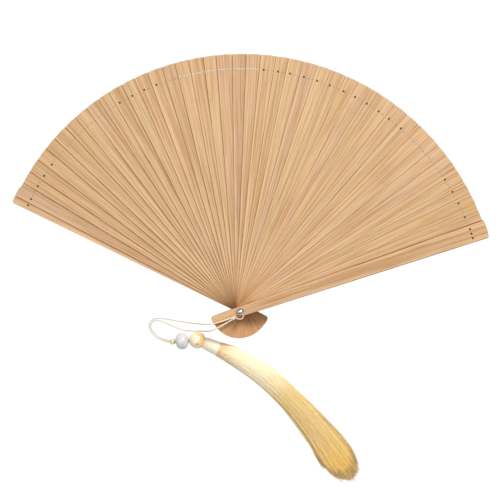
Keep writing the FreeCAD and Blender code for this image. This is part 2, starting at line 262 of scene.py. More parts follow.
frontLook = {"warm": 0.985, "heel": 0.3, "rim": 1.0, "rimWide": 2.0, "longer": 1 * mm}


def sandalwoodLeaf(name, angle, seed, look):
    # Grain along the leaf. After the turn, x runs from the rivet to the tip and y across.
    look = plainLeaf | look
    draw = np.random.default_rng(seed)
    kinds = [sandalwood[k] for k in ("honey", "rose", "straw", "dusty")]
    share = draw.dirichlet([2.2, 1.4, 1.9, 0.8])
    base = np.array(kinds).T @ share * draw.uniform(0.94, 1.05) * look["warm"]
    other = np.array(kinds).T @ draw.dirichlet([1.6, 1.2, 1.5, 0.8]) * look["warm"]
    paint = Paint(name)
    here = paint.turned(paint.place(), -angle)
    x, y, _ = paint.split(here)
    shift = tuple(draw.uniform(-50, 50, 3))
    sway = paint.noise(paint.scaled(here, (25, 60, 60), shift), 1, 1)
    sway = paint.math("MULTIPLY", paint.math("SUBTRACT", sway, 0.5), 0.0016)
    bent = paint.add("CombineXYZ", {0: x, 1: paint.math("ADD", y, sway), 2: 0.0})
    bands = paint.noise(paint.scaled(bent, (7, 420, 1), shift), 1, 2, 0.6)
    fine = paint.noise(paint.scaled(bent, (22, 1250, 1), shift), 1, 3, 0.7)
    pores = paint.noise(paint.scaled(bent, (170, 3200, 1), shift), 1, 1)
    cloud = paint.noise(paint.scaled(here, (38, 120, 1), shift), 1, 2)
    color = paint.mix(paint.spread(cloud, 0.36, 0.66), (*base, 1), (*other, 1))
    dark = toned(base, sandalwood["vein"])
    color = paint.mix(paint.spread(bands, 0.42, 0.72, 0, 0.8), color, dark)
    color = paint.mix(paint.spread(fine, 0.46, 0.72, 0, 0.95), color, dark)
    light = tuple(min(1, c * sandalwood["lighter"]) for c in base) + (1,)
    color = paint.mix(paint.spread(fine, 0.50, 0.26, 0, 0.7), color, light)
    pored = toned(base, sandalwood["pore"])
    color = paint.mix(paint.spread(pores, 0.68, 0.77, 0, 0.6), color, pored)
    # painted shade round the rivet, where the stacked leaves shade one another, more beyond it
    heel = paint.spread(x, 0.045, -0.006, 0, 0.85 * look["heel"])
    color = paint.mix(heel, color, toned((1, 1, 1), sandalwood["heel"]), "MULTIPLY")
    # a painted shadow along the leaf's edge, standing in for the shadow it casts on the leaf
    # below, with a painted highlight line just inside it
    half = paint.math("MULTIPLY_ADD", x, fan["widening"] / 2)
    half.node.inputs[2].default_value = fan["widthAtRivet"] / 2
    rim = paint.math("SUBTRACT", half, paint.math("ABSOLUTE", y))
    pastShadowLine = paint.spread(rim, 0.35 * mm, 0.65 * mm)
    nearEdge = paint.spread(rim, 1.5 * mm, 0.9 * mm)
    glint = paint.math("MULTIPLY", pastShadowLine, nearEdge)
    color = paint.mix(paint.math("MULTIPLY", glint, 0.5), color, light)
    # the painted shadow's strength changes in patches
    shadowNoise = paint.noise(paint.scaled(here, (45, 45, 1), shift), 1, 2)
    shadowPatches = paint.spread(shadowNoise, 0.3, 0.6, 0.55, 1)
    wide = look["rimWide"] * mm
    edge = paint.spread(rim, 0.46 * wide, 0.16 * wide, 0, look["rim"] * draw.uniform(0.6, 1))
    outward = paint.spread(x, 0.0, 0.09, 0.22, 1)  # the painted shadow is faint where the leaves crowd together
    edge = paint.math("MULTIPLY", paint.math("MULTIPLY", edge, outward), shadowPatches)
    color = paint.mix(edge, color, toned((1, 1, 1), sandalwood["rim"]), "MULTIPLY")
    # a darker band just inside the tip's end
    bowed = paint.math("MULTIPLY_ADD", paint.math("MULTIPLY", y, y), sandalwood["tipBow"])
    paint.put(bowed.node.inputs[2], x)
    tip = fan["tipReach"] + look["longer"]
    end = paint.spread(bowed, tip - 0.85 * mm, tip - 0.25 * mm, 0, 0.6)
    color = paint.mix(end, color, sandalwood["tipEdgeColor"])
    # dark round each hole: partly a burnt rim, partly painted shade on its walls; on the leaf
    # below, painted shade where it shows through the hole above
    spot = paint.add("CombineXYZ", {0: x, 1: y, 2: 0.0})
    for centre in look["holes"]:
        away = paint.add("VectorMath", {0: spot, 1: centre}, out=1, operation="DISTANCE")
        burntAndShaded = paint.spread(away, 1.0 * mm, 0.62 * mm, 0, 0.95)
        color = paint.mix(burntAndShaded, color, toned((1, 1, 1), sandalwood["hole"]))
    bump = paint.bump(fine, 0.06 * mm, 0.6)
    bump = paint.bump(bands, 0.08 * mm, 0.4, bump)
    rough = paint.spread(fine, 0.3, 0.7, 0.5, 0.64)
    return paint.finish(Base_Color=color, Roughness=rough, Normal=bump, Specular_IOR_Level=0.3)


def clothe(node, material):
    made = frame["nodes"][node]
    made.data.materials.clear()
    made.data.materials.append(material)


def holeAt(side, turn=0.0):
    # one of a leaf's three thread holes, seen from a leaf that lies `turn` degrees away
    x, y = fan["holeReach"], side * fan["holePitch"]
    c, s = math.cos(math.radians(turn)), math.sin(math.radians(turn))
    return (x * c - y * s, x * s + y * c, 0)


def wraps(angle):
    return any(low < angle < high for low, high in fan["overEdge"])


def finishLeaves():
    count, seeds = fan["bladeCount"], sandalwood["seeds"]
    angles = [rearAngle] + [bladeAngle(n) for n in range(1, count + 1)] + [frontAngle]
    for number, angle in enumerate(angles[:-1]):
        holes = [] if wraps(angle) else [holeAt(1)]
        after = angles[number + 1]
        if not wraps(after):
            holes.append(holeAt(1, after - angle))
        if number == 0:
            look = rearLook | {"holes": holes}
            clothe("guard_rear", sandalwoodLeaf("woodGuardRear", angle, seeds["rear"], look))
        else:
            seed = seeds["blade"] + number
            wood = sandalwoodLeaf(f"woodBlade{number:02d}", angle, seed, {"holes": holes})
            clothe(f"blade_{number:02d}", wood)
    look = frontLook | {"holes": [holeAt(side) for side in (1, 0, -1)]}
    clothe("guard_front", sandalwoodLeaf("woodGuardFront", frontAngle, seeds["front"], look))


finishLeaves()
print("leaves finished")


# ---- surfaces


def gridFaces(rows, columns, around=True, along=False):
    # quads of a grid of rows x columns points; either way may close on itself
    i = np.arange(rows if along else rows - 1)[:, None]
    j = np.arange(columns if around else columns - 1)[None, :]
    k, m = (i + 1) % rows, (j + 1) % columns
    quads = [i * columns + j, i * columns + m, k * columns + m, k * columns + j]
    return np.stack(np.broadcast_arrays(*quads), -1).reshape(-1, 4)


def rim(first, count):
    # one flat face on a ring of points
    return np.arange(first, first + count)[None]


def unit(vectors):
    return vectors / np.maximum(np.linalg.norm(vectors, axis=-1, keepdims=True), 1e-12)


def tangents(path, closed=False):
    if closed:
        return unit(np.roll(path, -1, 0) - np.roll(path, 1, 0))
    return unit(np.gradient(path, axis=0))


def lengthAlong(path):
    return np.concatenate([[0], np.cumsum(np.linalg.norm(np.diff(path, axis=0), axis=1))])


def resampled(path, count):
    along = lengthAlong(path)
    at = np.linspace(0, along[-1], count)
    return np.stack([np.interp(at, along, path[:, k]) for k in range(3)], 1)


def tube(path, radius, sides, lean=(0, 0, 1), closed=False):
    # A ring round each place of the path: the radius, which may change along the path and
    # round it, times the cosine of the angle goes sideways and times the sine goes up.
    ahead = tangents(path, closed)
    side = unit(np.cross(np.broadcast_to(np.array(lean, float), ahead.shape), ahead))
    rise = np.cross(ahead, side)
    along = lengthAlong(path)[:, None]
    angle = np.linspace(0, 2 * np.pi, sides, endpoint=False)[None, :]
    size = radius(along, angle) if callable(radius) else radius + 0 * along * angle
    ring = np.cos(angle)[..., None] * side[:, None] + np.sin(angle)[..., None] * rise[:, None]
    points = (path[:, None] + size[..., None] * ring).reshape(-1, 3)
    faces = gridFaces(len(path), sides, True, closed)
    uv = np.stack(np.broadcast_arrays(along, angle), -1).reshape(-1, 2)
    if closed:
        return points, [faces], uv
    last = len(path) - 1
    points = np.concatenate([points, path[[0, last]]])
    uv = np.concatenate([uv, uv[[0, -1]]])
    first = np.arange(sides)
    turn = (first + 1) % sides
    start = np.stack([turn, first, np.full(sides, len(points) - 2)], 1)
    base = last * sides
    end = np.stack([base + first, base + turn, np.full(sides, len(points) - 1)], 1)
    return points, [faces, start, end], uv


def joined(parts):
    # several (points, face arrays, uv) as one
    base = np.cumsum([0] + [len(points) for points, _, _ in parts])
    faces = [(a + b).tolist() for b, (_, arrays, _) in zip(base, parts) for a in arrays]
    points = np.concatenate([part[0] for part in parts])
    return points, sum(faces, []), np.concatenate([part[2] for part in parts])


def meshPiece(name, parts, material, body):
    points, faces, uv = joined(parts)
    mesh = bpy.data.meshes.new(name)
    mesh.from_pydata(points.tolist(), [], faces)
    mesh.materials.append(material)
    corner = np.zeros(len(mesh.loops), np.int32)
    mesh.loops.foreach_get("vertex_index", corner)
    mesh.uv_layers.new(name="UVMap").data.foreach_set("uv", uv[corner].ravel())
    mesh.polygons.foreach_set("use_smooth", [True] * len(mesh.polygons))
    mesh.update()
    made = bpy.data.objects.new(name, mesh)
    bpy.context.scene.collection.objects.link(made)
    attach(made, body)
    return made


# ---- rivet

rivetFinish = {
    "color": (0.66, 0.63, 0.62, 1),
    # painted reflections: a darker ring round the rim and a dark spot on top
    "rimReflection": (0.20, 0.17, 0.16, 1),
    "spotReflection": (0.03, 0.025, 0.025, 1),
    "spotReflectionAt": (-0.0003, -0.0007, 0),
    "roughness": 0.17,
}


def chrome():
    # plated; painted reflections: a dark spot on top and a darker ring round the rim
    paint = Paint("chrome")
    here = paint.place()
    smear = paint.noise(paint.scaled(here, (900, 900, 900)), 1, 2)
    flat = paint.scaled(here, (1, 1, 0))
    apart = {0: flat, 1: rivetFinish["spotReflectionAt"]}
    away = paint.add("VectorMath", apart, out=1, operation="DISTANCE")
    # painted dark reflection in a spot on top
    mark = paint.spread(away, 0.75 * mm, 0.42 * mm)
    out = paint.add("VectorMath", {0: flat}, out=1, operation="LENGTH")
    # painted darker reflection round the rim
    rim = paint.spread(out, 1.7 * mm, 2.55 * mm, 0, 0.75)
    color = paint.mix(rim, rivetFinish["color"], rivetFinish["rimReflection"])
    color = paint.mix(mark, color, rivetFinish["spotReflection"])
    base = rivetFinish["roughness"]
    rough = paint.spread(smear, 0.3, 0.75, base * 0.7, base * 1.8)
    return paint.finish(Base_Color=color, Metallic=1.0, Roughness=rough)


def finishRivet():
    metal = chrome()
    clothe("rivet_cap", metal)
    clothe("rivet_post", metal)


finishRivet()
print("rivet finished")


# ---- stringing thread: one stitch on each leaf

stitch = {
    "width": 0.24 * mm,
    "bolder": (88, 107),  # degrees: where the floss lies flat and catches the light
    "boldWidth": 0.52 * mm,
    "thick": 0.06 * mm,
    "lift": 0.015 * mm,
    "holeWidth": 1.16 * mm,
    "rise": 0.4 * mm,  # its width where it is drawn through the hole
    # painted highlight: the thread where it catches the light
    "bright": (0.56, 0.54, 0.50, 1),
    "dusty": (0.40, 0.325, 0.25, 1),  # the same thread in painted shade elsewhere, where it is thin and hardly paler than the wood
    # painted shade: the thread where it lies deep in a hole
    "inHole": (0.035, 0.02, 0.012, 1),
    "deepMark": 50,  # a second coordinate no stitch reaches: painted shade, where the thread lies deep
    "pastHole": 0.9 * mm,  # how far a stitch goes on past the next leaf's hole
    "shorter": 1.2 * mm,  # the last one stays clear of the front guard's own holes
}


def threadFinish(name, color):
    paint = Paint(name)
    along, across, _ = paint.split(paint.uv())
    ply = paint.math("MULTIPLY_ADD", along, 5200)
    paint.put(ply.node.inputs[2], across)
    # darker between the plies: painted shade in the grooves
    lay = paint.math("SINE", ply)
    tint = paint.mix(paint.spread(lay, -1, 0.6), toned(color[:3], (0.74, 0.69, 0.63)), color)
    # painted glints: bright and shaded dashes along the thread
    glintDashes = paint.math("SINE", paint.math("MULTIPLY", along, 2500))
    tint = paint.mix(paint.spread(glintDashes, 0.0, 0.6, 0, 0.8), tint, stitch["dusty"])
    # painted shade on the thread deep in the holes
    tint = paint.mix(paint.spread(across, 10, 20), tint, stitch["inHole"])
    return paint.finish(
        Base_Color=tint, Roughness=0.6, Specular_IOR_Level=0.15,
        Normal=paint.bump(lay, 0.03 * mm, 0.4),
    )


def flatFloss(path, wide, thick, sides=10):
    # a lens-shaped section that stays flat to Z: half width across, half thickness up
    ahead = tangents(path)
    level = unit(np.cross([0, 0, 1.0], path[-1] - path[0]))
    side = np.broadcast_to(level, ahead.shape)
    rise = unit(np.cross(ahead, side))
    angle = np.linspace(0, 2 * np.pi, sides, endpoint=False)
    ring = (
        path[:, None]
        + (wide[:, None] * np.cos(angle))[..., None] * side[:, None]
        + (thick[:, None] * np.sin(angle))[..., None] * rise[:, None]
    )
    points = ring.reshape(-1, 3)
    along = lengthAlong(path)[:, None]
    uv = np.stack(np.broadcast_arrays(along, angle[None, :]), -1).reshape(-1, 2)
    ends = [rim(0, sides)[:, ::-1], rim(len(points) - sides, sides)]
    return points, [gridFaces(len(path), sides)] + ends, uv


def inHole(side, low, high, spin, shadow=True):
    # the thread down a hole: a short post that fills it, in painted shade where it lies deep
    spot = np.array([fan["holeReach"], side * fan["holePitch"], 0]) @ spin.T
    path = spot + np.array([[0, 0, low], [0, 0, (low + high) / 2], [0, 0, high]])
    points, faces, uv = tube(path, stitch["holeWidth"] / 2, 16, lean=(1, 0, 0))
    return points, faces, uv * 0 + (stitch["deepMark"] if shadow else 0)


def spun(degrees):
    turn = math.radians(degrees)
    c, s = math.cos(turn), math.sin(turn)
    return np.array([[c, -s, 0], [s, c, 0], [0, 0, 1]])


def addStitches():
    # lit and shaded copies of one thread: painted highlight on the bold stitches
    silks = threadFinish("threadShaded", stitch["dusty"]), threadFinish("thread", stitch["bright"])
    start = fan["holePitch"]
    nextHole = -(math.radians(bladeStep) * fan["holeReach"] - start)
    edge = fan["widthAtRivet"] / 2 + fan["widening"] / 2 * fan["holeReach"]
    leaves = [("guard_rear", "rear_guard", rearAngle)]
    for number in range(1, fan["bladeCount"] + 1):
        name = f"blade_{number:02d}"
        leaves.append((name, name, bladeAngle(number)))
    for number, (node, body, angle) in enumerate(leaves):
        low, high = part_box(node)[0][2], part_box(node)[1][2]
        face = high + stitch["lift"] + stitch["thick"] / 2
        end = nextHole + stitch["pastHole"]
        if number == 0:
            end = start + stitch["pastHole"] - math.radians(fan["firstStep"]) * fan["holeReach"]
            low = high - 1.1 * mm
        if number == fan["bladeCount"]:
            end += stitch["shorter"]
        if wraps(angle):
            across = [edge + step * mm for step in (0.02, -0.12, -0.5, -1.2)]
            lift = [high - 0.16 * mm, high + 0.01 * mm, face, face]
        else:
            across = [start - step * mm for step in (0.28, 0.32, 0.46, 0.95)]
            lift = [low + 0.05 * mm, high - 0.04 * mm, face, face]
        across += list(np.linspace(across[-1], end, 8)[1:])
        lift += [face] * 7
        path = np.stack([np.full(len(across), fan["holeReach"]), across, lift], 1)
        spin = spun(angle)
        bold = stitch["bolder"][0] < angle < stitch["bolder"][1]
        wide = np.full(len(path), stitch["boldWidth" if bold else "width"] / 2)
        wide[:2] = min(stitch["rise"] / 2, wide[-1])
        thick = np.full(len(path), stitch["thick"] / 2)
        parts = [flatFloss(path @ spin.T, wide, thick)]
        for side in (-1, 0):
            parts.append(inHole(side, low + 0.02 * mm, high - 0.02 * mm, spin, False))
        parts.append(inHole(1, low + 0.02 * mm, high - 0.03 * mm, spin, not wraps(angle)))
        made = meshPiece(f"stitch_{number:02d}", parts, silks[bold], body)
        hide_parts("stringing_thread")
    low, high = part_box("guard_front")[0][2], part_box("guard_front")[1][2]
    # the thread's ends in the front guard's holes, in painted shade
    deep = low + 0.1 * mm, high - 0.25 * mm
    posts = [inHole(side, *deep, spun(frontAngle)) for side in (-1, 0, 1)]
    made = meshPiece("stitchEnds", posts, silks[0], "front_guard")
    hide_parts("stringing_thread")


addStitches()
print("stitches made")


# ---- cord

cord = {
    "diameter": 1.0 * mm,
    "onFan": (0.76, 0.62, 0.43, 1),  # warmer and brighter near the rivet: painted warm light bounced from the wood
    "onFanShade": (0.50, 0.36, 0.21, 1),
    "color": (0.51, 0.49, 0.40, 1),  # greyer below
    "shade": (0.46, 0.44, 0.355, 1),
    "knot": (0.66, 0.58, 0.38, 1),
    "knotShade": (0.46, 0.38, 0.20, 1),
    "fibre": (0.60, 0.55, 0.44, 1),
    "loop": ((0.50, 0.30, 0.22, 1), (0.66, 0.46, 0.36, 1)),
    "pliesPerMetre": 900,
}

# Over the fan first, with heights above the front guard, then past the heel and on the table.
frontStrandOnFan = [
    (-5.6, -4.7, 1.36), (-10.8, -7.0, 0.85), (-15.8, -9.0, 0.8), (-20.9, -10.6, 0.92),
]
frontStrandBelow = [
    (-25.3, -11.6, 19.0), (-29.4, -12.5, 13.2), (-33.8, -13.2, 7.4), (-38.6, -13.7, 2.9),
    (-43.6, -13.5, 0.95), (-49.0, -13.1, 0.62), (-54.4, -12.5, 0.6), (-59.6, -12.1, 0.62),
    (-64.0, -12.3, 0.6), (-67.3, -14.3, 0.62), (-68.5, -17.9, 0.6), (-67.3, -21.6, 0.62),
    (-64.8, -24.9, 0.6), (-61.3, -27.4, 0.85), (-57.3, -28.8, 2.0), (-53.6, -29.1, 3.7),
    (-50.6, -28.75, 5.0),
]
rearStrandOnFan = [
    (-5.2, -5.8, 1.36), (-9.5, -8.9, 0.85), (-13.8, -11.8, 0.8), (-17.9, -14.3, 0.8),
]
rearStrandBelow = [
    (-20.7, -16.1, 19.3), (-22.2, -17.2, 14.4), (-23.6, -18.1, 9.4), (-25.6, -18.9, 4.7),
    (-29.0, -19.5, 1.5), (-33.4, -19.9, 0.66), (-38.0, -20.2, 0.6), (-42.4, -19.8, 0.62),
    (-46.6, -18.7, 0.6), (-50.9, -17.2, 0.62), (-55.2, -15.6, 0.6), (-59.4, -14.2, 0.62),
    (-63.3, -13.6, 0.6), (-66.1, -15.2, 0.62), (-67.2, -18.0, 0.6), (-66.1, -21.1, 0.62),
    (-63.8, -24.0, 0.6), (-60.6, -26.3, 0.9), (-56.9, -27.6, 2.0), (-53.6, -27.8, 3.7),
    (-50.6, -27.45, 5.0),
]


def splinePoints(name, onFan, below):
    # the cord's smooth line: a NURBS spline with the route's points as its control points
    route = [(x * mm, y * mm, guardTop + z * mm) for x, y, z in onFan]
    route += [(x * mm, y * mm, z * mm) for x, y, z in below]
    data = bpy.data.curves.new(name + "Route", "CURVE")
    data.dimensions = "3D"
    data.resolution_u = 16
    spline = data.splines.new("NURBS")
    spline.points.add(len(route) - 1)
    spline.points.foreach_set("co", np.c_[route, np.ones(len(route))].ravel())
    spline.order_u = 3
    spline.use_endpoint_u = True
    holder = bpy.data.objects.new(name + "Route", data)
    mesh = bpy.data.meshes.new_from_object(holder)
    line = np.array([v.co for v in mesh.vertices])
    bpy.data.meshes.remove(mesh)
    bpy.data.objects.remove(holder)
    bpy.data.curves.remove(data)
    return line


def twisted(size):
    # a two-ply cord: full where a ply lies and a twentieth less between them, and the plies
    # turn steadily along it
    twist = 2 * np.pi * cord["pliesPerMetre"] / 2

    def radius(along, angle):
        return size / 2 * (0.95 + 0.05 * np.abs(np.cos(angle - twist * along)))

    return radius


def cordFinish(name, onFan):
    paint = Paint(name)
    along, around, _ = paint.split(paint.uv())
    twist = 2 * math.pi * cord["pliesPerMetre"] / 2
    lay = paint.math("MULTIPLY_ADD", along, -twist)
    paint.put(lay.node.inputs[2], around)
    groove = paint.math("ABSOLUTE", paint.math("COSINE", lay))
    fibres = paint.noise(paint.scaled(paint.place(), (2600, 2600, 2600)), 1, 2)
    light, deep = cord["knot"], cord["knotShade"]
    if onFan:
        # painted warm bounce light from the wood, while the cord lies on the fan
        down = paint.spread(along, 18 * mm, 27 * mm)
        light = paint.mix(down, cord["onFan"], cord["color"])
        deep = paint.mix(down, cord["onFanShade"], cord["shade"])
    color = paint.mix(paint.spread(groove, 0.1, 0.75), deep, light)
    color = paint.mix(paint.spread(fibres, 0.45, 0.75, 0, 0.35), color, cord["fibre"])
    return paint.finish(
        Base_Color=color, Roughness=0.55, Sheen_Weight=0.5, Sheen_Roughness=0.4,
        Normal=paint.bump(fibres, 0.05 * mm, 0.5),
    )


silkCord = cordFinish("cordSilk", True)
knotSilk = cordFinish("knotSilk", False)


def loopSilk():
    paint = Paint("loopSilk")
    fibres = paint.noise(paint.scaled(paint.place(), (2600, 2600, 2600)), 1, 2)
    color = paint.mix(fibres, *cord["loop"])
    return paint.finish(Base_Color=color, Roughness=0.6, Sheen_Weight=0.4)


def knotBall(centre, size, thick, leads=3, bights=5, turnedBy=0):
    # a knot tied as a ball: a closed line that weaves over a sphere; its radius swells and
    # shrinks as the line passes over and under
    turn = np.linspace(0, 2 * np.pi, 420, endpoint=False)
    wave = np.sin(bights * turn)
    azimuth = leads * turn + turnedBy
    height = 1.05 * wave
    over = 1 + 0.10 * np.cos(2 * bights * turn + 0.6)
    core = size / 2 - thick / 2
    flat = np.cos(height)
    line = np.stack([flat * np.cos(azimuth), flat * np.sin(azimuth), np.sin(height)], 1)
    line = np.array(centre) + core * over[:, None] * line
    return tube(line, twisted(thick), 8, lean=(0.3, 0.2, 1), closed=True)


def ball(centre, radius, rows=24, columns=32):
    # a sphere from just beside one pole to just beside the other, closed by two small faces
    polar = np.linspace(0.02, np.pi - 0.02, rows)[:, None]
    around = np.linspace(0, 2 * np.pi, columns, endpoint=False)[None, :]
    level = np.sin(polar)
    shape = [level * np.cos(around), level * np.sin(around), np.cos(polar) + 0 * around]
    points = np.array(centre) + radius * np.stack(shape, -1).reshape(-1, 3)
    ends = [rim(0, columns), rim((rows - 1) * columns, columns)[:, ::-1]]
    uv = np.stack(np.broadcast_arrays(polar, around), -1).reshape(-1, 2)
    return points, [gridFaces(rows, columns)[:, ::-1]] + ends, uv


def middle(node):
    low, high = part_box(node)
    return (np.array(low) + np.array(high)) / 2


def extent(node):
    low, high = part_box(node)
    return np.array(high) - np.array(low)


def addLoop():
    # Tight round the rivet's neck above, then two sides that fall to the small knot:
    # a smooth closed line through a few places, in mm from the rivet.
    around = np.array([
        (0.0, 2.05), (1.5, 1.4), (2.0, -0.8), (2.25, -3.3), (1.4, -4.95), (-0.7, -5.35),
        (-3.0, -4.85), (-4.2, -4.4), (-3.1, -3.1), (-2.05, -1.0), (-1.5, 1.4),
    ])
    count = len(around)
    turn = np.linspace(0, count, 132, endpoint=False)
    first = turn.astype(int)
    part = (turn - first)[:, None]
    p = [around[(first + k) % count] for k in (-1, 0, 1, 2)]
    flat = 0.5 * (
        2 * p[1] + (p[2] - p[0]) * part + (2 * p[0] - 5 * p[1] + 4 * p[2] - p[3]) * part**2
        + (3 * p[1] - p[0] - 3 * p[2] + p[3]) * part**3
    )
    height = middle("cord_loop")[2] / mm + 0.05 * np.sin(2 * np.pi * turn / count)
    line = np.c_[flat, height] * mm
    made = meshPiece(
        "loopCord", [tube(line, twisted(cord["diameter"]), 10, closed=True)],
        loopSilk(), "tassel",
    )
    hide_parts("cord_loop")


def addLoopKnot():
    centre = middle("loop_knot")
    size = extent("loop_knot")[0]
    parts = [
        knotBall(centre, 1.0 * size, 0.42 * size, 2, 3, 0.4),
        ball(centre, 0.3 * size, 12, 16),
    ]
    made = meshPiece("loopKnotCord", parts, silkCord, "tassel")
    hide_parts("loop_knot")


def addTopKnot():
    centre = middle("top_knot")
    size = extent("top_knot")[0]
    parts = [knotBall(centre, size, 0.26 * size), ball(centre, 0.34 * size)]
    made = meshPiece("topKnotCord", parts, knotSilk, "tassel")
    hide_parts("top_knot")
    return made


def addStrand(name, node, onFan, below):
    line = splinePoints(name, onFan, below)
    path = resampled(line, 520)
    made = meshPiece(
        name, [tube(path, twisted(cord["diameter"]), 10)], silkCord, "tassel"
    )
    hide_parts(node)


# ---- bead

beadLook = {
    "color": (0.555, 0.53, 0.495, 1),
    "cloud": (0.48, 0.475, 0.475, 1),
    "vein": (0.60, 0.56, 0.53, 1),
    "bore": 1.25 * mm,
    "halfLength": 5.0 * mm,
    "widest": 6.2 * mm,
    "roundness": 2.25,  # 2 is an ellipse, more is squarer
}


def stone():
    paint = Paint("paleStone")
    here = paint.place()
    cloud = paint.noise(paint.scaled(here, (180, 220, 200)), 1, 2, 0.5, 0.5)
    vein = paint.noise(paint.scaled(here, (420, 360, 400)), 1, 2, 0.6, 1.0)
    color = paint.mix(paint.spread(cloud, 0.36, 0.66), beadLook["color"], beadLook["cloud"])
    color = paint.mix(paint.spread(vein, 0.5, 0.75, 0, 0.3), color, beadLook["vein"])
    rough = paint.spread(vein, 0.3, 0.8, 0.22, 0.34)
    return paint.finish(
        Base_Color=color, Roughness=rough, Subsurface_Weight=0.3,
        Subsurface_Radius=(1.0, 0.9, 0.8), Subsurface_Scale=1.5 * mm,
        Coat_Weight=0.15, Coat_Roughness=0.15, Specular_IOR_Level=0.35,
    )


def turned(profile, start, axis, sides):
    # a profile of (along, radius) turned about an axis through start
    ahead = unit(np.array(axis, float))
    side = unit(np.cross([0, 0, 1.0], ahead))
    rise = np.cross(ahead, side)
    angle = np.linspace(0, 2 * np.pi, sides, endpoint=False)
    ring = np.cos(angle)[:, None] * side + np.sin(angle)[:, None] * rise
    along, radius = profile[:, 0], profile[:, 1]
    points = np.array(start) + along[:, None, None] * ahead + radius[:, None, None] * ring
    uv = np.stack(np.broadcast_arrays(along[:, None], angle[None, :]), -1)
    return points.reshape(-1, 3), uv.reshape(-1, 2)


beadJoint = next(j for j in frame["joints"] if j["name"] == "bead_spin")
beadCentre = np.array(beadJoint["pos_m"])
beadAxis = np.array(beadJoint["axis"])


def addBead():
    # A round barrel: one less the share of the half length raised to the roundness, and the
    # roundness-th root of that, times the widest radius. It stops at the bore drilled through.
    half, widest = beadLook["halfLength"], beadLook["widest"]
    roundness, bore = beadLook["roundness"], beadLook["bore"]
    swing = np.linspace(-1, 1, 61)
    along = half * np.sin(swing * np.pi / 2)
    outer = widest * np.maximum(1 - np.abs(along / half) ** roundness, 0) ** (1 / roundness)
    keep = outer > bore + 0.25 * mm
    profile = np.stack([along[keep], outer[keep]], 1)
    last = profile[-1, 0]
    lip = np.linspace(0, np.pi / 2, 5)[1:]
    lipReach = profile[-1, 1] - bore
    curl = np.stack([last + 0.0 * lip, profile[-1, 1] - lipReach * np.sin(lip)], 1)
    through = np.linspace(last - 0.3 * mm, -last + 0.3 * mm, 8)
    inner = np.stack([through, np.full(8, bore)], 1)
    back = curl[::-1] * [-1, 1]
    whole = np.concatenate([profile, curl, inner, back])
    points, uv = turned(whole, beadCentre, beadAxis, 64)
    faces = gridFaces(len(whole), 64, True, True)
    made = meshPiece("beadStone", [(points, [faces], uv)], stone(), "bead")
    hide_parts("bead")
    return made


# ---- tassel: head, binding, skirt

gold = {
    # head and binding pairs: the threads, and the painted shade between them
    "head": ((0.77, 0.665, 0.49, 1), (0.62, 0.47, 0.26, 1)),  # paler away from the binding: partly the silk's tone, partly painted highlight
    "headFar": ((0.78, 0.52, 0.20, 1), (0.54, 0.30, 0.08, 1)),
    "tuck": ((0.24, 0.13, 0.04, 1), (0.34, 0.20, 0.07, 1)),
    "binding": ((0.78, 0.72, 0.54, 1), (0.60, 0.54, 0.35, 1)),
}
tassel = {
    "headThreads": 84,
    "tuckRadius": 0.36 * mm,
    "bindingTurns": 34,
    "bindingFrom": (-27.6, -26.6, 5.9),
    "bindingTo": (-14.4, -31.7, 4.95),
    "bindingWide": (4.75, 5.9),  # half its width, where it starts and ends
    "bindingHigh": 4.7,
}


def woundSilk(name, threads, alongAxis, near, far=None, fade=None):
    # fine ridges from the wound threads, taken from the surface's own coordinates, with the second
    # colour between the threads: painted shade on the head and binding
    paint = Paint(name)
    first, second, _ = paint.split(paint.uv())
    lay = paint.math("MULTIPLY", first if alongAxis else second, threads)
    ridge = paint.math("ABSOLUTE", paint.math("SINE", lay))
    fibres = paint.noise(paint.scaled(paint.place(), (1800, 1800, 1800)), 1, 3)
    tone = paint.noise(paint.scaled(paint.place(), (260, 260, 260)), 1, 2)
    light, deep = near
    if far is not None:
        share = paint.spread(first, *fade)
        light, deep = (paint.mix(share, a, b) for a, b in zip(near, far))
    color = paint.mix(paint.spread(ridge, 0.0, 0.6), deep, light)
    color = paint.mix(paint.spread(tone, 0.45, 0.75, 0, 0.16), color, deep)
    return paint.finish(
        Base_Color=color, Roughness=paint.spread(fibres, 0.2, 0.8, 0.2, 0.34),
        Specular_IOR_Level=0.8, Sheen_Weight=0.2, Sheen_Roughness=0.3, Coat_Weight=0.5,
        Coat_Roughness=0.16, Normal=paint.bump(fibres, 0.03 * mm, 0.35),
    )


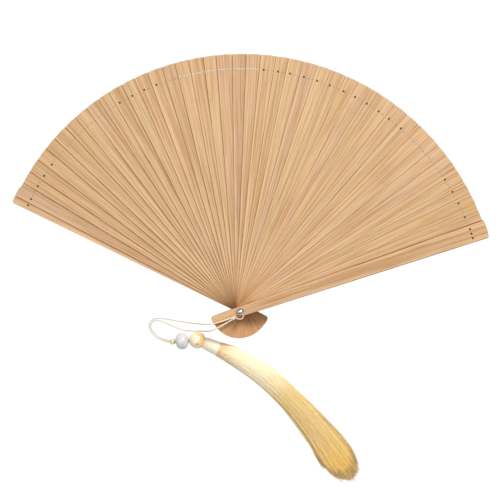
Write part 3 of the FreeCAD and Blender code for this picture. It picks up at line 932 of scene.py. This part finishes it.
def addHead():
    # A ball wound from pole to pole: its radius dips a little between one thread and the next,
    # and less toward the poles, and the threads swirl as they go.
    centre = middle("tassel_head")
    radius = extent("tassel_head")[2] / 2
    count = tassel["headThreads"]
    columns = count * 6
    polar = np.linspace(0.05, np.pi - 0.05, 48)[:, None]
    angle = np.linspace(0, 2 * np.pi, columns, endpoint=False)[None, :]
    swirl = angle + 0.35 * np.cos(polar)
    ridge = 1 - 0.006 * (1 - np.abs(np.sin(count * angle / 2))) * np.sin(polar)
    axis = unit(middle("tassel_head") - beadCentre)
    side = unit(np.cross([0, 0, 1.0], axis))
    rise = np.cross(axis, side)
    flat = (np.sin(polar) * np.cos(swirl))[..., None] * side
    flat = flat + (np.sin(polar) * np.sin(swirl))[..., None] * rise
    points = centre + (radius * ridge)[..., None] * (flat + np.cos(polar)[..., None] * axis)
    uv = np.stack(np.broadcast_arrays(polar, angle), -1).reshape(-1, 2)
    faces = [gridFaces(48, columns), rim(0, columns)[:, ::-1], rim(47 * columns, columns)]
    # paler away from the binding, amber toward it: partly the silk's tone, partly painted
    # highlight
    silk = woundSilk("headSilk", count / 2, False, gold["head"], gold["headFar"], (1.75, 1.05))
    wound = [(points.reshape(-1, 3), faces, uv)]
    head = meshPiece("headSilk", wound, silk, "tassel")
    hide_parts("tassel_head")
    # the thread's end, drawn over the ball and tucked in
    swing = np.linspace(-0.16, 0.16, 9)[:, None]
    up = unit(np.array([0.10, -0.30, 1.0]))
    along = unit(np.cross(np.cross(up, [1.0, 0.05, 0]), up))
    over = (np.cos(swing) * up + np.sin(swing) * along) * (1.016 - 1.2 * swing**2)
    tuck = tube(centre + radius * over, tassel["tuckRadius"], 8, lean=(0, 1, 0))
    dark = woundSilk("tuckSilk", 9000, True, gold["tuck"])
    made = meshPiece("headTuck", [tuck], dark, "tassel")
    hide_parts("tassel_head")
    return head


def addBinding():
    # Thread wound round the strands, widening with them. The section is an ellipse: half
    # width times half height, over the diagonal of the height times the cosine and the width
    # times the sine. It is a little less in the grooves, and rounded in at the ends.
    start, end = (np.array(tassel[k]) * mm for k in ("bindingFrom", "bindingTo"))
    share = np.linspace(0.14, 1.0, 240)
    path = start + (end - start) * share[:, None]
    long = np.linalg.norm(end - start)
    turns = tassel["bindingTurns"]

    def ridged(along, angle):
        part = along / long
        narrow, broad = tassel["bindingWide"]
        wide = narrow + (broad - narrow) * part**1.4
        high = tassel["bindingHigh"]
        ellipse = wide * high / np.hypot(high * np.cos(angle), wide * np.sin(angle)) * mm
        wave = np.abs(np.sin(np.pi * turns * part + angle / 2))
        ends = 1 - 0.10 * np.exp(-((along / (1.1 * mm)) ** 2))
        ends = ends - 0.05 * np.exp(-(((long * 0.86 - along) / (0.5 * mm)) ** 2))
        return ellipse * ends * (0.965 + 0.035 * wave)

    made = meshPiece(
        "bindingSilk", [tube(path, ridged, 72)],
        woundSilk("bindingSilk", math.pi * turns / long, True, gold["binding"]),
        "tassel",
    )
    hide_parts("tassel_binding")


# middle, half width and half height of the skirt's strands, from the binding on; the last
# three keep their width, and the strands are cut to a round end
skirtSections = [
    (-15.6, -31.2, 5.0, 5.2, 4.4), (-9.4, -33.0, 4.9, 6.5, 4.5), (-2.3, -36.3, 4.8, 7.0, 4.4),
    (9.0, -41.8, 4.6, 7.8, 4.1), (21.2, -48.6, 4.35, 8.5, 3.9), (34.2, -59.0, 4.15, 8.5, 3.7),
    (48.2, -71.0, 3.95, 9.2, 3.5), (62.5, -86.0, 3.75, 10.5, 3.3), (70.9, -95.2, 3.7, 11.5, 3.2),
    (77.2, -103.6, 3.6, 12.3, 3.1), (83.2, -110.7, 3.4, 12.5, 2.9), (88.6, -117.2, 3.1, 12.5, 2.6),
    (96.0, -125.4, 2.6, 12.5, 2.1),
]
skirt = {
    "strands": 1700,
    "segments": 14,
    "locks": 40,
    "strandWidth": 0.30,
    "seed": 11,
    "fineRows": 400,  # rows the table is read at before it is smoothed
    "smoothed": 41,  # rows that each smooth row is an average of
    "roundEnd": 21.0,  # how far the middle strands reach past the outer ones
    "start": (0.79, 0.53, 0.27, 1),
    "pale": (0.83, 0.70, 0.465, 1),
    "gold": (0.71, 0.505, 0.20, 1),
    "tip": (0.84, 0.52, 0.108, 1),
    "shade": (0.56, 0.35, 0.12, 1),
    "palest": (0.88, 0.82, 0.65, 1),
}


def skirtLine(count):
    # the skirt's middle, sides and sizes at even shares of its length, smoothed
    table = np.array(skirtSections) * mm
    along = lengthAlong(table[:, :3])
    rows, half = skirt["fineRows"], skirt["smoothed"] // 2
    at = np.linspace(0, along[-1], rows)
    fine = np.stack([np.interp(at, along, table[:, k]) for k in range(5)], 1)
    window = np.hanning(skirt["smoothed"])
    window /= window.sum()
    before, after = 2 * fine[0] - fine[half:0:-1], 2 * fine[-1] - fine[-2 : -half - 2 : -1]
    padded = np.concatenate([before, fine, after])
    smooth = np.stack([np.convolve(padded[:, k], window, "valid") for k in range(5)], 1)
    keep = np.linspace(0, rows - 1, count)
    return np.stack([np.interp(keep, np.arange(rows), smooth[:, k]) for k in range(5)], 1)


def sampled(table, at):
    # rows of an evenly spaced table at shares of its length, straight between the rows
    spot = at * (len(table) - 1)
    low = np.minimum(spot.astype(int), len(table) - 2)
    part = (spot - low)[..., None]
    return table[low] * (1 - part) + table[low + 1] * part


def skirtSilk():
    paint = Paint("skirtSilk")
    along, tone, _ = paint.split(paint.uv())
    # the colour deepens toward the tip, at a slightly different place on each lock
    drift = paint.math("MULTIPLY_ADD", tone, 0.16)
    paint.put(drift.node.inputs[2], along)
    color = paint.mix(paint.spread(drift, 0.06, 0.26), skirt["start"], skirt["pale"])
    color = paint.mix(paint.spread(drift, 0.34, 0.55), color, skirt["gold"])
    color = paint.mix(paint.spread(drift, 0.76, 1.05), color, skirt["tip"])
    deep = paint.spread(along, 0.25, 0.8, 0.04, 0.5)
    color = paint.mix(
        paint.math("MULTIPLY", paint.spread(tone, 0.5, 1.0), deep), color, skirt["shade"]
    )
    color = paint.mix(paint.spread(tone, 0.35, 0.0, 0, 0.4), color, skirt["palest"])
    return paint.finish(
        Base_Color=color, Roughness=0.36, Specular_IOR_Level=0.6, Sheen_Weight=0.5,
        Sheen_Roughness=0.4,
    )


def skirtStrands():
    # Every strand keeps its place in the bundle's section as the section widens: its share a
    # of the half width goes sideways from the middle and its share b of the half height goes
    # up, with a slow wave and a lock's pull. Each is a three-sided tube.
    draw = np.random.default_rng(skirt["seed"])
    count, steps = skirt["strands"], skirt["segments"]
    line = skirtLine(steps)
    whole = lengthAlong(line[:, :3])[-1]
    share = np.linspace(0, 1, steps)
    ahead = tangents(line[:, :3])
    side = unit(np.cross([0, 0, 1.0], ahead))
    rise = np.cross(ahead, side)
    depth = np.sqrt(draw.uniform(0.74, 1.0, count))
    around = draw.uniform(0, 2 * np.pi, count)
    lock = np.floor(around / (2 * np.pi) * skirt["locks"])
    lockTone = draw.uniform(0, 1, skirt["locks"])[lock.astype(int)]
    lockPull = draw.normal(0, 1, (skirt["locks"], 2))[lock.astype(int)]
    lockMiddle = (lock + 0.5) / skirt["locks"] * 2 * np.pi
    gather = 0.14 * np.sin(np.pi * share)[:, None] ** 0.7
    angle = around + (lockMiddle - around) * gather
    phase = draw.uniform(0, 2 * np.pi, count)
    loose = share[:, None] ** 1.6
    depth = 1 - (1 - depth) * (0.2 + 0.8 * share[:, None])  # combed smooth near the binding
    a = depth * np.cos(angle) * (1 + 0.04 * loose * lockPull[:, 0])
    b = depth * np.sin(angle) * (1 + 0.05 * loose * lockPull[:, 1])
    swell = 0.035 * draw.uniform(0, 1.6, count) ** 2
    wave = swell * np.sin(draw.uniform(5, 12, count) * share[:, None] + phase)
    a = a + loose**0.6 * wave + 0.045 * loose * draw.normal(0, 1, count)
    a = a + 0.07 * share[:, None] ** 9 * draw.normal(0, 1, count)  # frayed at the very end
    # cut round: a strand stops where an ellipse across the end crosses it
    cut = skirt["roundEnd"] * mm / whole
    off = np.minimum(np.abs(a[-1] - 0.04), 1)
    long = 1 - cut * (0.7 * (1 - np.sqrt(1 - off**2)) + 0.22 * off)
    long = long - 0.055 * draw.uniform(0, 1, count) ** 2 - 0.02 * lockTone
    stray = draw.random(count) < 0.10
    long = np.where(stray, np.minimum(long + 0.04 * draw.random(count), 1), long)
    at = share[:, None] * long
    row, sideAt, riseAt = sampled(line, at), sampled(side, at), sampled(rise, at)
    spot = row[..., :3] + (a * row[..., 3])[..., None] * sideAt
    spot = spot + (b * row[..., 4])[..., None] * riseAt
    thick = skirt["strandWidth"] / 2 * mm
    spot[..., 2] = np.maximum(spot[..., 2], 1.3 * thick)
    corner = np.array([0, 2 * np.pi / 3, 4 * np.pi / 3])[None, None, :] + phase[None, :, None]
    taper = np.where(share > 0.97, 0.35, 1.0)[:, None, None]
    ring = np.cos(corner)[..., None] * sideAt[:, :, None]
    ring = ring + np.sin(corner)[..., None] * riseAt[:, :, None]
    points = spot[:, :, None] + (thick * taper)[..., None] * ring
    points = points.transpose(1, 0, 2, 3).reshape(-1, 3)
    faces = gridFaces(steps, 3)
    faces = (faces[None] + (np.arange(count) * steps * 3)[:, None, None]).reshape(-1, 4)
    caps = np.arange(count)[:, None] * steps * 3
    tips = caps + (steps - 1) * 3 + np.array([[0, 1, 2]])
    roots = caps + np.array([[2, 1, 0]])
    tone = np.clip(0.5 * lockTone + 0.5 * draw.random(count), 0, 1)
    corners = np.zeros((1, 1, 3))
    uv = np.broadcast_arrays(at.T[:, :, None], tone[:, None, None], corners)[:2]
    return points, [faces, tips, roots], np.stack(uv, -1).reshape(-1, 2)


def skirtCore():
    # a plain body inside the strands, so no light shows between them; its end closes on an
    # ellipse just short of theirs
    rows, columns = 60, 40
    core = skirtLine(rows)
    turn = np.linspace(0, 2 * np.pi, columns, endpoint=False)
    ahead = tangents(core[:, :3])
    side = unit(np.cross([0, 0, 1.0], ahead))
    rise = np.cross(ahead, side)
    share = np.linspace(0, 1, rows)[:, None]
    cut = skirt["roundEnd"] * mm / lengthAlong(skirtLine(skirt["segments"])[:, :3])[-1]
    fill = 0.86 - 0.04 * share
    past = np.clip((share - (1 - cut)) / (0.86 * cut), 0, 1)
    fill = fill * np.sqrt(np.maximum(1 - past**2, 0.0004))
    surface = (
        core[:, None, :3]
        + (fill * core[:, 3:4] * np.cos(turn))[..., None] * side[:, None]
        + (fill * core[:, 4:5] * np.sin(turn))[..., None] * rise[:, None]
    )
    ends = [rim(0, columns)[:, ::-1], rim((rows - 1) * columns, columns)]
    uv = np.stack(np.broadcast_arrays(share * 0.97, np.full((1, columns), 0.35)), -1)
    return surface.reshape(-1, 3), [gridFaces(rows, columns)] + ends, uv.reshape(-1, 2)


def addSkirt():
    parts = [skirtStrands(), skirtCore()]
    made = meshPiece("skirtSilk", parts, skirtSilk(), "tassel")
    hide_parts("tassel_skirt")


addLoop()
addLoopKnot()
topKnot = addTopKnot()
bead = addBead()
head = addHead()
addBinding()
addSkirt()
clothe("bead_cord", silkCord)
addStrand("strandFront", "cord_strand_front", frontStrandOnFan, frontStrandBelow)
addStrand("strandRear", "cord_strand_rear", rearStrandOnFan, rearStrandBelow)
print("cord and tassel made")
